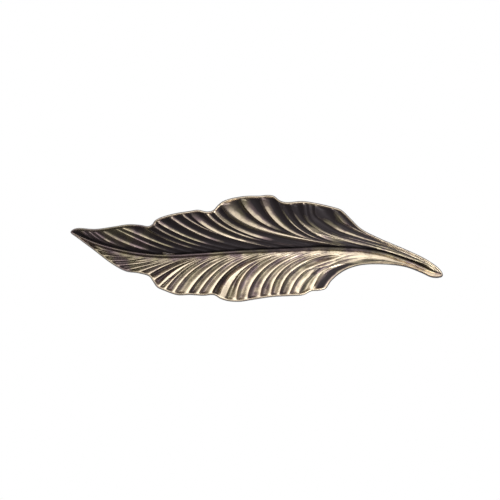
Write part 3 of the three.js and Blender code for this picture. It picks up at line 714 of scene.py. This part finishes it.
def makePost(x):
    behind = backAt(x, 0.0)
    foot, waist, flare = (post[name] / 2
                          for name in ("footDiameter", "waistDiameter", "flareDiameter"))
    drill, mouth = post["tapDrill"] / 2, post["holeMouth"] / 2
    bpy.ops.object.select_all(action="DESELECT")
    bpy.ops.mesh.primitive_circle_add(vertices=post["sides"], radius=foot * mm, fill_type="NGON",
                                      rotation=(math.pi / 2, 0, 0))
    shaft = bpy.context.object
    shaft.name = "post"
    bpy.ops.object.transform_apply(location=False, rotation=True, scale=False)
    bpy.ops.object.mode_set(mode="EDIT")
    bpy.ops.mesh.select_all(action="SELECT")
    bpy.ops.mesh.delete(type="ONLY_FACE")
    bpy.ops.mesh.select_all(action="SELECT")
    # outside, from the foot to the top inside the leaf's wall
    moveRing(foot - post["footBevel"], 0)
    inward, upward = post["bevelRound"]
    flareRings = [(mix(waist, flare, step ** post["flareCurve"]),
                   mix(behind + post["flareHeight"], behind, step)) for step in post["flareSteps"]]
    extrudeRings([(foot - inward, -upward), (foot, -post["footBevel"]),
                  (waist, behind + post["flareHeight"]), *flareRings,
                  (flare, behind - leaf["bladeWall"] * post["sink"])])
    bpy.ops.mesh.edge_face_add()
    # the screw hole, from the foot's open ring
    bpy.ops.mesh.select_all(action="DESELECT")
    mesh = bmesh.from_edit_mesh(shaft.data)
    for edge in mesh.edges:
        edge.select = edge.is_boundary
    bmesh.update_edit_mesh(shaft.data)
    extrudeRings([(mouth, 0), (drill, drill - mouth), (drill, -post["holeDepth"]),
                  (0, -post["holeDepth"] - post["drillPoint"] * drill)])
    bpy.ops.mesh.select_all(action="SELECT")
    bpy.ops.mesh.remove_doubles(threshold=1e-6)
    bpy.ops.mesh.normals_make_consistent(inside=False)
    bpy.ops.transform.translate(value=(x * mm, 0, 0))
    bpy.ops.object.mode_set(mode="OBJECT")
    markPatinaAndShade(shaft.data, np.full(len(shaft.data.vertices), back["patinaAndShade"]))
    return shaft


def makeLeaf():
    parts, backEdges, rootLines, rootTones = [], {}, {}, {}
    for half in (upperHalf, lowerHalf):
        side = half["side"]
        field, tone, ends, rows = fluteField(half)
        parts.append(sheetFrom("flutes", field, tone))
        wrap = rimAndSide(half, field, ends, rows)
        parts.append(sheetFrom("rim", wrap, rimPatinaAndShade(half, wrap)))
        backEdges[side], rootLines[side], rootTones[side] = wrap[-1], field[0], tone[0]
    behind = backSheet(backEdges)
    parts.append(sheetFrom("back", behind, np.full(behind.shape[:2], back["patinaAndShade"])))
    crest = ribSheet()
    parts.append(sheetFrom("rib", crest, ribPatina(crest)))
    parts.append(zipFaces(backEdges[-1], behind[0], back["patinaAndShade"], back["patinaAndShade"]))
    parts.append(zipFaces(backEdges[1], behind[-1], back["patinaAndShade"], back["patinaAndShade"]))
    parts.append(zipFaces(rootLines[-1], crest[0], rootTones[-1], rib["patinaAndShade"][0]))
    parts.append(zipFaces(rootLines[1], crest[-1], rootTones[1], rib["patinaAndShade"][-1]))
    bpy.ops.object.select_all(action="DESELECT")
    for part in parts:
        part.select_set(True)
    bpy.context.view_layer.objects.active = parts[0]
    bpy.ops.object.join()
    body = bpy.context.object
    bpy.ops.object.mode_set(mode="EDIT")
    bpy.ops.mesh.select_all(action="SELECT")
    bpy.ops.mesh.remove_doubles(threshold=1e-7)
    bpy.ops.mesh.select_all(action="SELECT")
    bpy.ops.mesh.normals_make_consistent(inside=False)
    bpy.ops.object.mode_set(mode="OBJECT")
    body.name = "leafCasting"
    bpy.ops.object.transform_apply(location=True, rotation=True, scale=True)
    return body


def joinPost(body, shaft):
    bpy.ops.object.select_all(action="DESELECT")
    body.select_set(True)
    bpy.context.view_layer.objects.active = body
    union = body.modifiers.new("post", "BOOLEAN")
    union.operation = "UNION"
    union.solver = "EXACT"
    union.object = shaft
    bpy.ops.object.modifier_apply(modifier=union.name)
    bpy.data.objects.remove(shaft)


def darkenBehind(body):  # the union leaves its new corners around the posts without patina
    for corner, mark in zip(body.data.vertices, body.data.attributes["patinaAndShade"].data):
        x, y, z = corner.co / mm
        isBehind = y > backAt(x, z) - leaf["bladeWall"] / 2
        if isBehind and math.hypot(abs(x) - post["centres"] / 2, z) < post["flareDiameter"]:
            mark.value = back["patinaAndShade"]


def openEdges(body):
    mesh = bmesh.new()
    mesh.from_mesh(body.data)
    count = sum(1 for edge in mesh.edges if not edge.is_manifold)
    mesh.free()
    return count


casting = makeLeaf()
print("leaf", len(casting.data.polygons), "faces, open edges", openEdges(casting))

for side in (-1, 1):
    shaft = makePost(side * post["centres"] / 2)
    print("post, open edges", openEdges(shaft))
    joinPost(casting, shaft)
darkenBehind(casting)
print("posts joined", len(casting.data.polygons), "faces, open edges", openEdges(casting))
bpy.ops.object.shade_smooth_by_angle(angle=math.radians(leaf["sharpAngle"]))

brass = {
    "polished": (0.8, 0.67, 0.5, 1),
    "worn": (0.3, 0.26, 0.17, 1),
    "wornPurple": (0.27, 0.2, 0.2, 1),
    "patinaAndShade": (0.038, 0.03, 0.033, 1),
    "polishedAt": 0.03,  # patina and painted shade at which the metal has each of these colours
    "wornAt": 0.3,
    "patinaAt": 0.9,
    "polishedRoughness": 0.3,
    "patinaRoughness": 0.5,
    "patinaMetallic": 0.35,
    "specular": 0.3,
    "wear": 0.12,  # how far clouds break the patina up
    "cloudScale": 260,
    "cloudSpan": (0.35, 0.65),
    "patchScale": 130,  # patches in which the worn metal is purple
    "patchSpan": (0.4, 0.6),
    "grainScale": 1400,
    "grainBump": 0.06,
    "grainHeight": 0.0002,
}


def node(tree, kind, **inputs):
    made = tree.nodes.new(kind)
    for name, value in inputs.items():
        made.inputs[name].default_value = value
    return made


def ranged(tree, source, span, target):  # a value carried over from one range to another
    made = node(tree, "ShaderNodeMapRange", **{"From Min": span[0], "From Max": span[1],
                                               "To Min": target[0], "To Max": target[1]})
    tree.links.new(source, made.inputs["Value"])
    return made.outputs["Result"]


def agedColor(tree, tone, worn):  # from polished over worn metal to patina
    made = tree.nodes.new("ShaderNodeValToRGB")
    stops = made.color_ramp.elements
    stops[0].position, stops[0].color = brass["polishedAt"], brass["polished"]
    stops[1].position, stops[1].color = brass["patinaAt"], brass["patinaAndShade"]
    stops.new(brass["wornAt"]).color = worn
    tree.links.new(tone, made.inputs["Fac"])
    return made.outputs["Color"]


def antiqueBrass():
    material = bpy.data.materials.new("antiqueBrass")
    material.use_nodes = True
    tree = material.node_tree
    links = tree.links
    shader = tree.nodes["Principled BSDF"]
    shader.inputs["Specular IOR Level"].default_value = brass["specular"]
    place = tree.nodes.new("ShaderNodeTexCoord").outputs["Object"]
    cloud = node(tree, "ShaderNodeTexNoise", Scale=brass["cloudScale"], Detail=5, Roughness=0.6)
    patch = node(tree, "ShaderNodeTexNoise", Scale=brass["patchScale"], Detail=2)
    grain = node(tree, "ShaderNodeTexNoise", Scale=brass["grainScale"], Detail=3)
    for noise in (cloud, patch, grain):
        links.new(place, noise.inputs["Vector"])
    # patina gathers in the hollows, with painted shade and painted highlights in the same
    # attribute, broken up by wear
    mark = tree.nodes.new("ShaderNodeAttribute")
    mark.attribute_name = "patinaAndShade"
    wear = ranged(tree, cloud.outputs["Fac"], brass["cloudSpan"],
                  (-brass["wear"], brass["wear"]))
    aged = tree.nodes.new("ShaderNodeMath")
    aged.operation = "ADD"
    links.new(mark.outputs["Fac"], aged.inputs[0])
    links.new(wear, aged.inputs[1])
    tone = aged.outputs[0]
    # the half worn metal turns from olive to purple brown in patches
    purple = ranged(tree, patch.outputs["Fac"], brass["patchSpan"], (0, 1))
    blend = tree.nodes.new("ShaderNodeMix")
    blend.data_type = "RGBA"
    sockets = {socket.identifier: socket for socket in [*blend.inputs, *blend.outputs]}
    links.new(purple, sockets["Factor_Float"])
    links.new(agedColor(tree, tone, brass["worn"]), sockets["A_Color"])
    links.new(agedColor(tree, tone, brass["wornPurple"]), sockets["B_Color"])
    links.new(sockets["Result_Color"], shader.inputs["Base Color"])
    # patina and painted shade are rougher and less metallic
    rough = ranged(tree, tone, (0, 1), (brass["polishedRoughness"], brass["patinaRoughness"]))
    links.new(rough, shader.inputs["Roughness"])
    metal = ranged(tree, tone, (brass["wornAt"], 1), (1, brass["patinaMetallic"]))
    links.new(metal, shader.inputs["Metallic"])
    bump = node(tree, "ShaderNodeBump", Strength=brass["grainBump"],
                Distance=brass["grainHeight"])
    links.new(grain.outputs["Fac"], bump.inputs["Height"])
    links.new(bump.outputs["Normal"], shader.inputs["Normal"])
    return material


casting.data.materials.clear()
casting.data.materials.append(antiqueBrass())
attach(casting, "root")
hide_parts("leaf_handle")
print("finish laid")

studio = {
    "centre": (-0.0027, -0.0165, 0),  # where the camera looks, in metres as all sizes here
    "frameWidth": 0.2008,
    "cameraDistance": 3.2,
    "sensor": 36,
    "ambient": 0.35,
    "floorDrop": 1.3,
    "floorSize": 2.4,
    "floorColor": (0.85, 0.85, 0.85),
    "floorRoughness": 0.7,
    # name, place, size and watts, and whether the lamp shines only in the metal
    "lamps": [
        ("keyLamp", (-0.2, -0.5, 0.55), (1.2, 0.35), 1.5, False),
        ("topLamp", (0.25, -0.2, 0.8), (0.6, 0.3), 0.7, False),
        ("stemLamp", (0.1, -0.105, -0.1), (0.1, 0.09), 0.17, True),
    ],
    # name, place, size and colour of the cards that the metal mirrors
    "flags": [
        ("lowFlag", (0, -0.6, -0.6), (3.4, 1.6), (0.06, 0.06, 0.065)),
        ("lowRightFlag", (1.0, 0, -0.65), (1.8, 1.2), (0.07, 0.07, 0.07)),
        ("leftFlag", (-0.9, -0.1, 0.1), (1.4, 1.4), (0.6, 0.58, 0.52)),
        ("frontFlag", (0, -1.2, 0.1), (1.6, 0.5), (0.36, 0.38, 0.62)),
    ],
    "flagRoughness": 0.9,
}


def pointAt(thing, target):
    thing.rotation_euler = (Vector(target) - thing.location).to_track_quat("-Z", "Y").to_euler()


def softBox(name, place, size, watts, isMirrored):
    data = bpy.data.lights.new(name, "AREA")
    data.shape = "RECTANGLE"
    data.size, data.size_y = size
    data.energy = watts
    data.diffuse_factor = 0 if isMirrored else 1
    lamp = bpy.data.objects.new(name, data)
    bpy.context.collection.objects.link(lamp)
    lamp.location = place
    lamp.visible_camera = False
    pointAt(lamp, studio["centre"])


def plainPaint(name, color, roughness):
    paint = bpy.data.materials.new(name)
    paint.use_nodes = True
    shader = paint.node_tree.nodes["Principled BSDF"]
    shader.inputs["Base Color"].default_value = (*color, 1)
    shader.inputs["Roughness"].default_value = roughness
    return paint


def flag(name, place, size, color):  # a card that the camera doesn't see
    bpy.ops.object.select_all(action="DESELECT")
    bpy.ops.mesh.primitive_plane_add(size=1)
    sheet = bpy.context.object
    sheet.name = name
    sheet.scale = (*size, 1)
    sheet.location = place
    pointAt(sheet, studio["centre"])
    sheet.visible_camera = False
    sheet.visible_shadow = False
    sheet.visible_diffuse = False
    paint = plainPaint(name, color, studio["flagRoughness"])
    paint.node_tree.nodes["Principled BSDF"].inputs["Specular IOR Level"].default_value = 0
    sheet.data.materials.append(paint)


def makeFloor():
    bpy.ops.object.select_all(action="DESELECT")
    bpy.ops.mesh.primitive_plane_add(size=studio["floorSize"],
                                     location=(0, 0, -studio["floorDrop"]))
    floor = bpy.context.object
    floor.name = "floor"
    paint = plainPaint("floorPaint", studio["floorColor"], studio["floorRoughness"])
    floor.data.materials.append(paint)


def larger(tree, first, second):
    made = tree.nodes.new("ShaderNodeMath")
    made.operation = "MAXIMUM"
    tree.links.new(first, made.inputs[0])
    tree.links.new(second, made.inputs[1])
    return made.outputs[0]


def makeWorld():  # white where the camera sees it or the metal mirrors it, and dimmer as a light
    world = bpy.data.worlds.new("studio")
    bpy.context.scene.world = world
    world.use_nodes = True
    tree = world.node_tree
    backdrop = tree.nodes["Background"]
    backdrop.inputs["Color"].default_value = (1, 1, 1, 1)
    ray = tree.nodes.new("ShaderNodeLightPath").outputs
    seen = larger(tree, ray["Is Camera Ray"], ray["Is Glossy Ray"])
    seen = larger(tree, seen, ray["Is Transmission Ray"])
    strength = ranged(tree, seen, (0, 1), (studio["ambient"], 1))
    tree.links.new(strength, backdrop.inputs["Strength"])


def makeCamera():
    data = bpy.data.cameras.new("camera")
    data.sensor_width = studio["sensor"]
    data.lens = data.sensor_width * studio["cameraDistance"] / studio["frameWidth"]
    camera = bpy.data.objects.new("camera", data)
    bpy.context.collection.objects.link(camera)
    x, y, z = studio["centre"]
    camera.location = (x, y - studio["cameraDistance"], z)
    camera.rotation_euler = (math.pi / 2, 0, 0)
    bpy.context.scene.camera = camera


makeWorld()
makeFloor()
for lamp in studio["lamps"]:
    softBox(*lamp)
for card in studio["flags"]:
    flag(*card)
makeCamera()
bpy.context.scene.view_settings.view_transform = "Standard"
print("studio lit")
